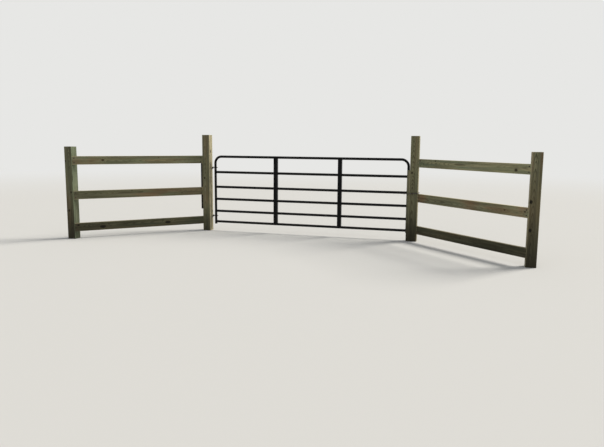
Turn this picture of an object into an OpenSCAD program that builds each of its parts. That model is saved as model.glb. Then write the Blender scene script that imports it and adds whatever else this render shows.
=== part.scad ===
// Tubular steel field gate between two timber gate posts,
// with a splayed three-rail timber wing fence on each side.
// The origin is the middle of the hinge post's foot. +X runs along the closed
// gate to the latch post, +Y is the side that the leaf opens to, +Z is up.

/* [Gateway] */
// Clear width between the two gate posts
opening_w = 3660; // [2400:10:4800]
// Distance of the leaf's middle plane behind the middle of the gate posts
leaf_setback = 47; // [47:1:56]

/* [Posts] */
// Width and depth of every square post
post_w = 140; // [138:1:160]
// Height of the two gate posts above ground
gate_post_h = 1770; // [1550:10:2200]
// Height of the two outer posts above ground
outer_post_h = 1550; // [1450:10:2000]
// Bevel round the head of each post
head_bevel = 5; // [1:1:12]
// Bevel along the upright edges of posts and boards
edge_bevel = 4; // [1:1:6]

/* [Wing fences] */
// Length of a wing rail's front, from post to post
bay_len = 2265; // [1500:5:3000]
// Angle between each wing and the line of the gate
splay = 45; // [20:0.5:60]
// Width of a wing rail, seen as its height in the fence
board_w = 140; // [90:5:180]
// Thickness of a wing rail and of the stop board
board_t = 38; // [30:1:50]
// Height of the middle of the top rail
top_board_z = 1321; // [1150:1:1400]
// Height of the middle of the middle rail
middle_board_z = 740; // [600:1:900]
// Height of the middle of the bottom rail
bottom_board_z = 196; // [120:1:350]

/* [Stop board] */
// Height of the stop board's top above ground
stop_board_h = 1200; // [600:10:1400]
// Width of the stop board, measured along the side of the latch post
stop_board_w = 89; // [60:1:89]

/* [Leaf] */
// Outside diameter of every leaf tube
tube_d = 44.5; // [32:0.5:45]
// Distance from the hinge post's side to the middle of the hinge stile
hinge_gap = 70; // [70:1:80]
// Distance from the middle of the latch stile to the latch post's side
latch_gap = 36; // [36:1:60]
// Height of the middle of the top tube
leaf_top_z = 1375; // [1300:5:1450]
// Radius of the bends at both top corners, along the tube's middle line
corner_r = 120; // [90:5:160]
// Drop from the top tube to the second tube
second_drop = 286; // [250:1:320]
// Drop from the top tube to the third tube
third_drop = 560; // [450:1:600]
// Drop from the top tube to the fourth tube
fourth_drop = 786; // [700:1:850]
// Drop from the top tube to the fifth tube
fifth_drop = 1011; // [930:1:1060]
// Drop from the top tube to the bottom tube
bottom_drop = 1210; // [1150:1:1240]
// Length of stile below the middle of the bottom tube
stile_tail = 44; // [30:1:70]
// Wall of the tube, seen at the open foot of each stile
tube_wall = 2; // [1.5:0.5:4]
// Depth of the open bore in each stile's foot
foot_bore = 60; // [20:5:80]

/* [Braces] */
// Width of a brace along the leaf
brace_w = 70; // [50:1:80]
// Depth of a brace across the leaf
brace_depth = 52; // [50:1:60]
// Thickness of the brace's sheet steel
brace_t = 3; // [2:0.5:5]
// Width of the pressed rib up the middle of a brace
rib_w = 22; // [14:1:30]
// Height of that rib over the face of the brace
rib_h = 5; // [3:1:8]

/* [Hinges] */
// Drop from the top tube to the upper hinge eye
upper_hinge_drop = 202; // [190:1:208]
// Height of the lower hinge eye over the bottom tube
lower_hinge_rise = 108; // [90:1:112]
// Diameter of the hooks' pins and shanks
pin_d = 16; // [12:1:18]
// Diameter of the eye bolts
bolt_d = 10; // [8:1:10]
// Gap between an eye and the side of the hinge post
eye_gap = 3.5; // [3:0.5:4]
// Running clearance between an eye and its pin, on the radius
eye_play = 0.5; // [0.3:0.1:1]
// Length of eye bolt past the middle of the hinge stile
bolt_tail = 44; // [40:1:60]
// Width across flats of the eye bolts' nuts
nut_af = 17; // [14:1:18]
// Thickness of the eye bolts' nuts
nut_t = 6; // [5:0.5:6.5]

/* [Latch chain] */
// Thickness of the links
link_t = 6; // [4:0.5:7]
// Length of a link
link_len = 39; // [34:0.5:48]
// Clearance between a link's sides and the link that hangs in it
link_play = 0.7; // [0.6:0.1:1.2]
// Links along the back of the latch post, from the pin that holds the chain
back_links = 3; // [2:1:4]
// Links along the stop board's inner face, to the pin that they hang on
tail_links = 2; // [2:1:3]
// Fall of the chain across the front of the post
chain_fall = 12; // [0:1:12]
// Diameter of the heads of the two pins
pin_head_d = 16; // [12:1:20]

/* [Side bar] */
// Width of the outer leg of the steel angle on the wing side of the hinge post
bar_w = 60; // [50:1:65]
// Thickness of both legs
bar_t = 6; // [4:0.5:8]
// Height of the angle's lower end
bar_foot_z = 400; // [300:1:500]
// Height of the angle's upper end
bar_head_z = 1300; // [1270:1:1380]

/* [Hidden] */
$fn = 48;

timber = [0.42, 0.38, 0.26];
gate_black = [0.04, 0.04, 0.045];
plain_steel = [0.35, 0.34, 0.33];

half_post = post_w / 2;
latch_post_x = opening_w + post_w;
tube_r = tube_d / 2;
hinge_stile_x = half_post + hinge_gap;
latch_stile_x = latch_post_x - half_post - latch_gap;
leaf_w = latch_stile_x - hinge_stile_x;
eye_r = pin_d / 2 + eye_play + bolt_d / 2;
pin_x = half_post + eye_gap + eye_r + bolt_d / 2;
leaf_bottom_z = leaf_top_z - bottom_drop;
// A brace ends part way over the top and bottom tubes, forked round each
brace_lap = tube_r * 0.6;
upper_hinge_z = leaf_top_z - upper_hinge_drop;
lower_hinge_z = leaf_bottom_z + lower_hinge_rise;
// A link is wide enough for the next one to hang in it
link_w = 3 * link_t + 2 * link_play;
// Gap where one piece bears on another, and the most that a link carries the chain on
seat_gap = 0.3;
full_pitch = link_len - 2 * link_t - seat_gap;
bar_reach = (link_len - link_t) / 2;
// The flat links bear on the timber, and the upright ones on the middle rail's top
chain_off = link_w / 2 + seat_gap;
chain_z = middle_board_z + board_w / 2 + link_w / 2 + seat_gap;
// The front face of a wing rail meets each post just behind its eased corner
rail_front_y = -half_post + edge_bevel;
// Far end of each wing's front line, where it meets the outer post's side
left_end = [-half_post - bay_len * cos(splay), rail_front_y - bay_len * sin(splay)];
right_end = [latch_post_x + half_post + bay_len * cos(splay), left_end[1]];
left_outer_at = [left_end[0] - half_post, left_end[1] - rail_front_y];
right_outer_at = [right_end[0] + half_post, right_end[1] - rail_front_y];

// Square with its four corners cut at 45 degrees
module eased_square(w, h, cut) {
    polygon([[-w / 2 + cut, -h / 2], [w / 2 - cut, -h / 2], [w / 2, -h / 2 + cut], [w / 2, h / 2 - cut],
             [w / 2 - cut, h / 2], [-w / 2 + cut, h / 2], [-w / 2, h / 2 - cut], [-w / 2, -h / 2 + cut]]);
}

// Square post standing on the ground, bevelled round its head
module post(height) {
    color(timber)
    difference() {
        linear_extrude(height) eased_square(post_w, post_w, edge_bevel);
        for (turn = [0:90:270])
            rotate([0, 0, turn])
            translate([half_post, 0, height])
            rotate([0, 45, 0])
            cube([head_bevel * sqrt(2), post_w * 2, head_bevel * sqrt(2)], center = true);
    }
}

module left_outer_post() {
    translate([left_outer_at[0], left_outer_at[1], 0]) post(outer_post_h);
}

module hinge_post() {
    post(gate_post_h);
}

module latch_post() {
    translate([latch_post_x, 0, 0]) post(gate_post_h);
}

module right_outer_post() {
    translate([right_outer_at[0], right_outer_at[1], 0]) post(outer_post_h);
}

// Rail from one post's side to another's. Both ends are cut on the skew, so that
// they lie flat on the posts' sides while the rail runs at the wing's own angle.
module wing_rail(start, end, z) {
    run = norm(end - start);
    turn = atan2(end[1] - start[1], end[0] - start[0]);
    back = cos(turn) > 0 ? 1 : -1;
    skew_y = board_t / abs(cos(turn));
    color(timber)
    intersection() {
        translate([start[0], start[1], z])
        rotate([0, 0, turn])
        translate([-board_w, back * board_t / 2, 0])
        rotate([90, 0, 90])
        linear_extrude(run + 2 * board_w) eased_square(board_t, board_w, edge_bevel / 2);
        translate([0, 0, z - board_w])
        linear_extrude(2 * board_w)
        polygon([start, end, end + [0, skew_y], start + [0, skew_y]]);
    }
}

module left_rail(z) {
    wing_rail([-half_post, rail_front_y], left_end, z);
}

module right_rail(z) {
    wing_rail([latch_post_x + half_post, rail_front_y], right_end, z);
}

module left_top_rail() {
    left_rail(top_board_z);
}

module left_middle_rail() {
    left_rail(middle_board_z);
}

module left_bottom_rail() {
    left_rail(bottom_board_z);
}

module right_top_rail() {
    right_rail(top_board_z);
}

module right_middle_rail() {
    right_rail(middle_board_z);
}

module right_bottom_rail() {
    right_rail(bottom_board_z);
}

// Upright board on the inner side of the latch post, flush with its front
module stop_board() {
    color(timber)
    translate([latch_post_x - half_post - board_t / 2, -half_post + stop_board_w / 2, 0])
    linear_extrude(stop_board_h) eased_square(board_t, stop_board_w, edge_bevel / 2);
}

// One link, lying flat along X about its own middle, round outside at both ends
module link() {
    linear_extrude(link_t, center = true)
    difference() {
        union() {
            square([link_len - link_w, link_w], center = true);
            for (side = [-1, 1])
                translate([side * (link_len - link_w) / 2, 0]) circle(d = link_w);
        }
        square([link_len - 2 * link_t, link_w - 2 * link_t], center = true);
    }
}

// Even links stand upright and odd ones lie flat. The chain turns a corner about
// the end of the upright link there, which the flat link's opening just takes in.
// This is how far from a corner the middle of the link next to it lies.
function inset(i) = i % 2 == 0 ? bar_reach : bar_reach - link_t - seat_gap;
// Fewest links that reach from one corner to the next
function links_over(run, first) =
    let (least = 1 + ceil((run - inset(first) - bar_reach) / full_pitch))
    run - inset(first) - inset(first + least - 1) <= (least - 1) * full_pitch ? least : least + 1;

// Straight run of links from the middle of its first to the middle of its last
module chain_run(start, end, count, first) {
    step = (end - start) / (count - 1);
    turn = atan2(step[1], step[0]);
    tilt = -atan2(step[2], norm([step[0], step[1]]));
    for (i = [0:count - 1])
        translate(start + step * i)
        rotate([0, tilt, turn])
        rotate([(first + i) % 2 == 0 ? 90 : 0, 0, 0])
        link();
}

// Pin with a round head, standing out along X from the timber through a link
module chain_pin() {
    reach = chain_off + link_t / 2 + seat_gap;
    rotate([0, 90, 0]) cylinder(d = link_t, h = reach);
    translate([reach, 0, 0]) rotate([0, 90, 0]) cylinder(d = pin_head_d, h = link_t / 2);
}

// Chain from a pin on the back of the latch post, round its outer side above the
// rail and across its front, to a pin on the inner face of the stop board
module latch_chain() {
    back_y = half_post + chain_off;
    front_y = -half_post - chain_off;
    right_x = latch_post_x + half_post + chain_off;
    left_x = latch_post_x - half_post - board_t - chain_off;
    low_z = chain_z - chain_fall;
    side_links = links_over(back_y - front_y, back_links);
    after_side = back_links + side_links;
    // The last link of all stands upright, for its pin
    front_run = right_x - left_x - inset(after_side) - inset(tail_links);
    across = 1 + ceil(front_run / full_pitch);
    front_links = across + (after_side + across + tail_links - 1) % 2;
    after_front = after_side + front_links;
    first_in = inset(after_side);
    last_in = inset(after_front - 1);
    slope = chain_fall / (right_x - left_x);
    back_end = right_x - inset(back_links - 1);
    back_start = back_end - (back_links - 1) * full_pitch;
    tail_start = front_y + inset(after_front);
    tail_end = tail_start + (tail_links - 1) * full_pitch;
    // A pin bears on the far end of its link's opening
    pin_reach = bar_reach - link_t - seat_gap;
    color(plain_steel) {
        chain_run([back_start, back_y, chain_z], [back_end, back_y, chain_z], back_links, 0);
        chain_run([right_x, back_y - inset(back_links), chain_z],
                  [right_x, front_y + inset(after_side - 1), chain_z], side_links, back_links);
        chain_run([right_x - first_in, front_y, chain_z - first_in * slope],
                  [left_x + last_in, front_y, low_z + last_in * slope], front_links, after_side);
        chain_run([left_x, tail_start, low_z], [left_x, tail_end, low_z], tail_links, after_front);
        translate([back_start - pin_reach, half_post, chain_z]) rotate([0, 0, 90]) chain_pin();
        translate([left_x + chain_off, tail_end + pin_reach, low_z]) rotate([0, 0, 180]) chain_pin();
    }
}

// Steel angle up the wing side of the hinge post. One leg lies on the post and the
// other stands out behind the rails, whose ends bear on it.
module side_bar() {
    front_y = rail_front_y + board_t / cos(splay) + seat_gap;
    side_leg = min(bar_w, half_post - edge_bevel - front_y);
    color(gate_black)
    translate([-half_post, front_y, bar_foot_z])
    linear_extrude(bar_head_z - bar_foot_z)
    polygon([[0, 0], [0, side_leg], [-bar_t, side_leg], [-bar_t, bar_t], [-bar_w, bar_t], [-bar_w, 0]]);
}

// Hook with a level shank from the post's side and an upright pin
module hook(eye_z) {
    shank_z = eye_z - bolt_d / 2 - pin_d / 2 - eye_play;
    color(gate_black)
    union() {
        translate([half_post, leaf_setback, shank_z])
        rotate([0, 90, 0])
        cylinder(d = pin_d, h = pin_x - half_post);
        translate([pin_x, leaf_setback, shank_z]) sphere(d = pin_d);
        translate([pin_x, leaf_setback, shank_z]) cylinder(d = pin_d, h = eye_z - shank_z + pin_d);
    }
}

module upper_hook() {
    hook(upper_hinge_z);
}

module lower_hook() {
    hook(lower_hinge_z);
}

// Eye that turns on a hook's pin, with a rod that passes through the stile
module eye_bolt(eye_z) {
    rod_len = hinge_stile_x + bolt_tail - pin_x - eye_r;
    color(plain_steel)
    translate([pin_x, leaf_setback, eye_z])
    union() {
        rotate_extrude() translate([eye_r, 0]) circle(d = bolt_d, $fn = 24);
        translate([eye_r, 0, 0]) rotate([0, 90, 0]) cylinder(d = bolt_d, h = rod_len);
    }
}

module upper_eye_bolt() {
    eye_bolt(upper_hinge_z);
}

module lower_eye_bolt() {
    eye_bolt(lower_hinge_z);
}

// Nut on an eye bolt, from the given distance past the stile's middle
module eye_nut(eye_z, from) {
    translate([hinge_stile_x + from, leaf_setback, eye_z])
    rotate([0, 90, 0])
    difference() {
        cylinder(d = nut_af / cos(30), h = nut_t, $fn = 6);
        translate([0, 0, -1]) cylinder(d = bolt_d, h = nut_t + 2);
    }
}

// A nut on each side of the stile locks each eye bolt
module hinge_nuts() {
    color(plain_steel)
    for (eye_z = [upper_hinge_z, lower_hinge_z])
        for (from = [-tube_r - nut_t, tube_r])
            eye_nut(eye_z, from);
}

// Straight tube along the leaf at a given height, of a given length
module level_tube(z) {
    color(gate_black)
    difference() {
        translate([hinge_stile_x, leaf_setback, z]) rotate([0, 90, 0]) cylinder(d = tube_d, h = leaf_w);
        for (x = [hinge_stile_x, latch_stile_x])
            translate([x, leaf_setback, z - tube_d]) cylinder(d = tube_d, h = 2 * tube_d);
    }
}

// Upright tube at one end of the leaf, from its open foot to the corner bend
module stile(x) {
    foot_z = leaf_bottom_z - stile_tail;
    color(gate_black)
    translate([x, leaf_setback, foot_z])
    difference() {
        cylinder(d = tube_d, h = leaf_top_z - corner_r - foot_z);
        translate([0, 0, -1]) cylinder(d = tube_d - 2 * tube_wall, h = foot_bore + 1);
    }
}

module hinge_stile() {
    difference() {
        stile(hinge_stile_x);
        for (eye_z = [upper_hinge_z, lower_hinge_z])
            translate([hinge_stile_x - tube_d, leaf_setback, eye_z])
            rotate([0, 90, 0])
            cylinder(d = bolt_d, h = 2 * tube_d);
    }
}

module latch_stile() {
    stile(latch_stile_x);
}

// Quarter bend between a stile and the top tube
module corner_bend() {
    rotate([90, 0, 0]) rotate_extrude(angle = 90) translate([corner_r, 0]) circle(d = tube_d);
}

// Top tube with a bend down to the stile at each end
module top_tube() {
    color(gate_black)
    translate([0, leaf_setback, leaf_top_z - corner_r])
    union() {
        translate([hinge_stile_x + corner_r, 0, corner_r])
        rotate([0, 90, 0])
        cylinder(d = tube_d, h = leaf_w - 2 * corner_r);
        translate([latch_stile_x - corner_r, 0, 0]) corner_bend();
        translate([hinge_stile_x + corner_r, 0, 0]) mirror([1, 0, 0]) corner_bend();
    }
}

module second_tube() {
    level_tube(leaf_top_z - second_drop);
}

module third_tube() {
    level_tube(leaf_top_z - third_drop);
}

module fourth_tube() {
    level_tube(leaf_top_z - fourth_drop);
}

module fifth_tube() {
    level_tube(leaf_top_z - fifth_drop);
}

module bottom_tube() {
    level_tube(leaf_bottom_z);
}

// Folded sheet brace, open at the back. Its web lies over the tubes with a
// pressed rib up the middle, and each tube passes through both of its sides.
module brace(x) {
    front = -brace_depth / 2;
    color(gate_black)
    difference() {
        translate([x, leaf_setback, leaf_bottom_z - brace_lap])
        linear_extrude(bottom_drop + 2 * brace_lap)
        polygon([[-brace_w / 2, -front], [-brace_w / 2, front], [-rib_w / 2, front],
                 [-rib_w / 2 + rib_h, front - rib_h], [rib_w / 2 - rib_h, front - rib_h], [rib_w / 2, front],
                 [brace_w / 2, front], [brace_w / 2, -front], [brace_w / 2 - brace_t, -front],
                 [brace_w / 2 - brace_t, front + brace_t], [rib_w / 2 - brace_t / 2, front + brace_t],
                 [rib_w / 2 - rib_h - brace_t / 2, front - rib_h + brace_t],
                 [-rib_w / 2 + rib_h + brace_t / 2, front - rib_h + brace_t],
                 [-rib_w / 2 + brace_t / 2, front + brace_t], [-brace_w / 2 + brace_t, front + brace_t],
                 [-brace_w / 2 + brace_t, -front]]);
        for (drop = [0, second_drop, third_drop, fourth_drop, fifth_drop, bottom_drop])
            translate([x - brace_w, leaf_setback, leaf_top_z - drop])
            rotate([0, 90, 0])
            cylinder(d = tube_d, h = 2 * brace_w);
    }
}

module left_brace() {
    brace(hinge_stile_x + leaf_w / 3);
}

module right_brace() {
    brace(hinge_stile_x + leaf_w * 2 / 3);
}

left_outer_post();
hinge_post();
latch_post();
right_outer_post();
left_top_rail();
left_middle_rail();
left_bottom_rail();
right_top_rail();
right_middle_rail();
right_bottom_rail();
stop_board();
latch_chain();
side_bar();
upper_hook();
lower_hook();
hinge_stile();
top_tube();
latch_stile();
second_tube();
third_tube();
fourth_tube();
fifth_tube();
bottom_tube();
left_brace();
right_brace();
upper_eye_bolt();
lower_eye_bolt();
hinge_nuts();
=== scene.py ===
import bpy
import bmesh
import math
import random
from mathutils import Matrix, Vector


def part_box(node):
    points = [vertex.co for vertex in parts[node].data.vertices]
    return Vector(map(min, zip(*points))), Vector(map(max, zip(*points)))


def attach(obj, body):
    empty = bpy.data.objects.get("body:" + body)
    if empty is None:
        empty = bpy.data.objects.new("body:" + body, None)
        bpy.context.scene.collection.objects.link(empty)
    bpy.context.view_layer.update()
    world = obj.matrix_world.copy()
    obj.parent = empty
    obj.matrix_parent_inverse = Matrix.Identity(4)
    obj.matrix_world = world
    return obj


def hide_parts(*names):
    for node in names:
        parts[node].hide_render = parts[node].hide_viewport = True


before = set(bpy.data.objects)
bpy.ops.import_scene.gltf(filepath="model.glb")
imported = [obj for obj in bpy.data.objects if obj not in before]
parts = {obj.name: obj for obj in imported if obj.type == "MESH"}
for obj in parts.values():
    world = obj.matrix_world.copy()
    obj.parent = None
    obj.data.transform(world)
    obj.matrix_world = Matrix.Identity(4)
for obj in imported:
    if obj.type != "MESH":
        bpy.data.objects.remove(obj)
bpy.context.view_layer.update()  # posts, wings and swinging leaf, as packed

from types import SimpleNamespace

print("gate loaded:", len(parts), "parts")


# camera, at the angle the gate was photographed from

shot = {
    "place": (4.710, -9.862, 1.657),  # eye height, in front and right of the middle
    "turn": 16.234,  # degrees to the left of straight on
    "dip": 8.041,  # degrees below level
    "roll": 0.461,
    "lens": 34.43,
    "sensor": 36,
}
lens = bpy.data.cameras.new("gateCamera")
lens.lens = shot["lens"]
lens.sensor_width = shot["sensor"]
camera = bpy.data.objects.new("gateCamera", lens)
bpy.context.scene.collection.objects.link(camera)
camera.matrix_world = (
    Matrix.Translation(shot["place"])
    @ Matrix.Rotation(math.radians(shot["turn"]), 4, "Z")
    @ Matrix.Rotation(math.radians(90 - shot["dip"]), 4, "X")
    @ Matrix.Rotation(math.radians(shot["roll"]), 4, "Z")
)
bpy.context.scene.camera = camera
bpy.context.scene.view_settings.view_transform = "Standard"
print("camera placed")


# places taken from the frame

toLeft = (-1.0, 0.0, 0.0)
toRight = (1.0, 0.0, 0.0)
upward = (0.0, 0.0, 1.0)
wingSplay = math.radians(45)  # each wing runs out and forward at this angle


def middleOf(node):
    low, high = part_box(node)
    return (low + high) / 2


def wingLine(side):
    # the line along the fronts of a wing's rails, from where it meets the gate post
    low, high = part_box(side + "_top_rail")
    outward = 1 if side == "right" else -1
    sine, cosine = math.sin(wingSplay), math.cos(wingSplay)
    run = high.x - low.x
    startY = low.y + run * math.tan(wingSplay)
    return SimpleNamespace(
        start=Vector((low.x if side == "right" else high.x, startY, 0.0)),
        way=Vector((outward * cosine, -sine, 0.0)),
        front=Vector((-outward * sine, -cosine, 0.0)),  # the way its rails face
        length=run / cosine,
        thick=(high.y - startY) * cosine,
        wide=high.z - low.z)


wings = {side: wingLine(side) for side in ("left", "right")}
postLow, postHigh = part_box("latch_post")
stopLow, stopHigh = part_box("stop_board")
tubeLow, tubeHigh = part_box("second_tube")
tube = SimpleNamespace(
    radius=(tubeHigh.z - tubeLow.z) / 2,
    leafY=(tubeLow.y + tubeHigh.y) / 2,
    hingeX=tubeLow.x,
    latchX=tubeHigh.x)
tubeLevels = [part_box("top_tube")[1].z - tube.radius]
tubeLevels += [middleOf(name + "_tube").z for name in ("second", "third", "fourth", "fifth", "bottom")]
eyeLevels = [middleOf(name + "_eye_bolt").z for name in ("upper", "lower")]


# short helpers for finishes

def tone(red, green, blue):
    # a colour given as on screen, 0 to 255, as a shader takes it
    out = []
    for part in (red, green, blue):
        part = part / 255
        out.append(part / 12.92 if part <= 0.04045 else ((part + 0.055) / 1.055) ** 2.4)
    return (out[0], out[1], out[2], 1.0)


def newFinish(name):
    finish = bpy.data.materials.new(name)
    finish.use_nodes = True
    tree = finish.node_tree
    tree.nodes.clear()
    out = tree.nodes.new("ShaderNodeOutputMaterial")
    shader = tree.nodes.new("ShaderNodeBsdfPrincipled")
    tree.links.new(shader.outputs[0], out.inputs[0])
    return finish, tree, shader


def feed(tree, value, socket):
    # a number or colour is typed in, anything else is wired
    if isinstance(value, (int, float, tuple, list)):
        socket.default_value = value
    elif value is not None:
        tree.links.new(value, socket)


def calc(tree, kind, first, second=None, third=None):
    node = tree.nodes.new("ShaderNodeMath")
    node.operation = kind
    for place, value in enumerate((first, second, third)):
        feed(tree, value, node.inputs[place])
    return node.outputs[0]


def times(tree, first, *others):
    for value in others:
        first = calc(tree, "MULTIPLY", first, value)
    return first


def fade(tree, value, low, high, start=0.0, end=1.0):
    # goes softly from start to end while the value goes from low to high
    node = tree.nodes.new("ShaderNodeMapRange")
    node.interpolation_type = "SMOOTHSTEP"
    for place, number in enumerate((value, low, high, start, end)):
        feed(tree, number, node.inputs[place])
    return node.outputs[0]


def tint(tree, share, under, over, mode="MIX"):
    node = tree.nodes.new("ShaderNodeMix")
    node.data_type = "RGBA"
    node.blend_type = mode
    feed(tree, share, node.inputs[0])
    feed(tree, under, node.inputs[6])
    feed(tree, over, node.inputs[7])
    return node.outputs[2]


def grain(tree, vector, stretch, detail, shift):
    # soft noise drawn out along one way of the piece
    spread = tree.nodes.new("ShaderNodeVectorMath")
    spread.operation = "MULTIPLY_ADD"
    tree.links.new(vector, spread.inputs[0])
    spread.inputs[1].default_value = stretch
    spread.inputs[2].default_value = (shift, shift * 0.7, shift * 1.3)
    node = tree.nodes.new("ShaderNodeTexNoise")
    node.inputs["Scale"].default_value = 1.0
    node.inputs["Detail"].default_value = detail
    tree.links.new(spread.outputs[0], node.inputs["Vector"])
    return node.outputs[0]


def evenGrain(tree, vector, scale, detail, shift):
    return grain(tree, vector, (scale, scale, scale), detail, shift)


def axesOf(tree, vector):
    node = tree.nodes.new("ShaderNodeSeparateXYZ")
    tree.links.new(vector, node.inputs[0])
    return node.outputs


def facing(tree, normal, way):
    # 1 where the surface faces that way, -1 where it faces the other
    node = tree.nodes.new("ShaderNodeVectorMath")
    node.operation = "DOT_PRODUCT"
    tree.links.new(normal, node.inputs[0])
    node.inputs[1].default_value = way
    return node.outputs["Value"]


def chance(tree, number):
    # 0 to 1 by luck, always the same for the same number
    node = tree.nodes.new("ShaderNodeTexWhiteNoise")
    node.noise_dimensions = "1D"
    tree.links.new(number, node.inputs["W"])
    return node.outputs[0]


def relief(tree, shader, height, strength, depth):
    node = tree.nodes.new("ShaderNodeBump")
    node.inputs["Strength"].default_value = strength
    node.inputs["Distance"].default_value = depth
    tree.links.new(height, node.inputs["Height"])
    tree.links.new(node.outputs[0], shader.inputs["Normal"])


def dress(node, finish):
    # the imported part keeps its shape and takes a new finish
    for place in node.material_slots:
        place.material = finish
    if not node.material_slots:
        node.data.materials.append(finish)


# sawn, pressure treated timber

timberLook = {
    "early": (125, 122, 93),  # pale wood between the rings
    "late": (72, 66, 45),  # dark line of each ring
    "green": (101, 108, 83),  # treatment left in the sapwood
    "red": (118, 92, 66),  # heartwood
    "grey": (110, 109, 98),  # sun bleached
    "knot": (32, 24, 18),
    "rim": (26, 20, 15),
    "split": (28, 25, 20),
    # soil: damp and painted shade at the foot
    "soil": (42, 38, 30),
    "pore": (78, 70, 50),
    # pale: painted sunlight on the lit sides and tops, and the worn edges
    "pale": (182, 172, 140),
    "ringGap": 0.0066,
    "ringShiver": 0.006,
    "knotPush": 0.022,  # how far a knot pushes the rings aside
    "checkGap": 0.028,
    "checkWidth": 0.0015,
    "splitWave": 0.014,  # how far a split wanders off its line
    "crackEdge": 0.0005,
    "wornWidth": 0.013,
    "sawGap": 0.011,
    "roughness": 0.8,
}

# how often each changes in a metre along and across the piece, its detail and its own seed
timberGrain = {
    "wander": (1.1, 1.5, 1.0, 0),  # slow drift of the rings
    "shiver": (5.0, 26.0, 2.0, 3),
    "fibre": (7.0, 420.0, 2.0, 7),
    "streak": (1.6, 60.0, 2.0, 11),
    "pore": (45.0, 1500.0, 1.0, 13),
    "patch": (1.2, 16.0, 2.0, 17),
    "blotch": (0.9, 6.0, 2.0, 23),
    "band": (1.8, 28.0, 2.0, 29),
    "drying": (1.5, 34.0, 1.0, 31),  # where the checks open
    "knotEdge": (30.0, 70.0, 2.0, 41),
}


def layTimber(tree, piece):
    # the piece's own axes, with the pattern running along it from its own middle
    coord = tree.nodes.new("ShaderNodeTexCoord")
    lay = tree.nodes.new("ShaderNodeMapping")
    lay.vector_type = "TEXTURE"
    lay.inputs["Location"].default_value = piece["middle"]
    lay.inputs["Rotation"].default_value = piece["turn"]
    tree.links.new(coord.outputs["Object"], lay.inputs["Vector"])
    own = lay.outputs[0]
    wood = SimpleNamespace(tree=tree, piece=piece, look={**timberLook, **piece["look"]})
    wood.along, wood.through, wood.across = axesOf(tree, own)
    wood.level = axesOf(tree, coord.outputs["Object"])[2]
    wood.normal = coord.outputs["Normal"]
    for name, (long, wide, detail, seed) in timberGrain.items():
        setattr(wood, name, grain(tree, own, (long, wide, wide), detail, piece["seed"] + seed))
    # how far it lies from the heart of the tree
    wood.offThrough = calc(tree, "SUBTRACT", wood.through, piece["heart"][0])
    wood.offAcross = calc(tree, "SUBTRACT", wood.across, piece["heart"][1])
    # a rail's ends face along X, and its front lies at 45 degrees to that
    wood.endFace = fade(tree, calc(tree, "ABSOLUTE", facing(tree, wood.normal, piece["endWay"])), 0.74, 0.82)
    return wood


def coat(wood, colour, share, name):
    # a share of one of the timber's own colours, laid over the colour so far
    return tint(wood.tree, share, colour, tone(*wood.look[name]))


def knotGap(wood):
    # 0 in the middle of the nearest knot and 1 at its edge
    tree = wood.tree
    nearest = 99.0  # out of the reach of any knot
    for middle, ratios in wood.piece["knots"]:
        total = 0.0
        for axis, at, ratio in zip((wood.along, wood.through, wood.across), middle, ratios):
            part = times(tree, calc(tree, "SUBTRACT", axis, at), ratio)
            total = calc(tree, "MULTIPLY_ADD", part, part, total)
        nearest = calc(tree, "MINIMUM", nearest, calc(tree, "SQRT", total))
    # no knot is a true oval
    return calc(tree, "MULTIPLY_ADD", wood.knotEdge, 0.5, calc(tree, "SUBTRACT", nearest, 0.25))


def growthRings(wood):
    # 1 on the dark line of each ring round the heart, which knots push aside
    tree, piece, look = wood.tree, wood.piece, wood.look
    radius = times(tree, wood.offAcross, wood.offAcross)
    radius = calc(tree, "SQRT", calc(tree, "MULTIPLY_ADD", wood.offThrough, wood.offThrough, radius))
    radius = calc(tree, "MULTIPLY_ADD", wood.wander, piece["wander"], radius)
    radius = calc(tree, "MULTIPLY_ADD", wood.shiver, look["ringShiver"], radius)
    radius = calc(tree, "MULTIPLY_ADD", wood.along, piece["taper"], radius)
    radius = calc(tree, "ADD", radius, fade(tree, wood.knot, 0.3, 3.4, look["knotPush"], 0.0))
    count = calc(tree, "DIVIDE", radius, look["ringGap"])
    share = calc(tree, "FRACT", count)
    begin = calc(tree, "MULTIPLY_ADD", chance(tree, calc(tree, "FLOOR", count)), 0.3, 0.35)
    ring = fade(tree, share, begin, calc(tree, "ADD", begin, 0.32))
    return times(tree, ring, fade(tree, share, 0.92, 1.0, 1.0, 0.0))


def timberColour(wood, ring):
    tree, piece = wood.tree, wood.piece
    colour = coat(wood, tone(*wood.look["early"]), times(tree, ring, 0.72), "late")
    colour = coat(wood, colour, fade(tree, wood.patch, 0.4, 0.66, 0.05, piece["green"]), "green")
    colour = coat(wood, colour, fade(tree, wood.blotch, 0.5, 0.64, 0.0, piece["red"]), "red")
    for middle, reach, strength in piece["warm"]:
        far = calc(tree, "ABSOLUTE", calc(tree, "SUBTRACT", wood.along, middle))
        far = calc(tree, "MULTIPLY_ADD", wood.patch, 0.2, far)
        colour = coat(wood, colour, fade(tree, far, 0.05, reach + 0.1, strength, 0.0), "red")
    colour = coat(wood, colour, fade(tree, wood.streak, 0.42, 0.7, 0.0, 0.3), "grey")
    return coat(wood, colour, fade(tree, wood.pore, 0.6, 0.72, 0.0, 0.45), "pore")


def timberShade(wood):
    # lighter and darker fibres and bands, and the piece's own depth of tone, partly painted light and shade:
    # darker bottom rails and post feet
    tree, piece = wood.tree, wood.piece
    return times(
        tree,
        calc(tree, "MULTIPLY_ADD", wood.fibre, 0.4, 0.8),
        calc(tree, "MULTIPLY_ADD", wood.streak, 0.3, 0.85),
        fade(tree, wood.band, 0.34, 0.66, 0.82, 1.18),
        fade(tree, wood.blotch, 0.34, 0.66, 0.9, 1.08),
        piece["shade"],
        fade(tree, wood.along, 0.0, piece["length"], *piece["ends"]),
        fade(tree, wood.endFace, 0.0, 1.0, 1.0, 0.8))


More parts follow.
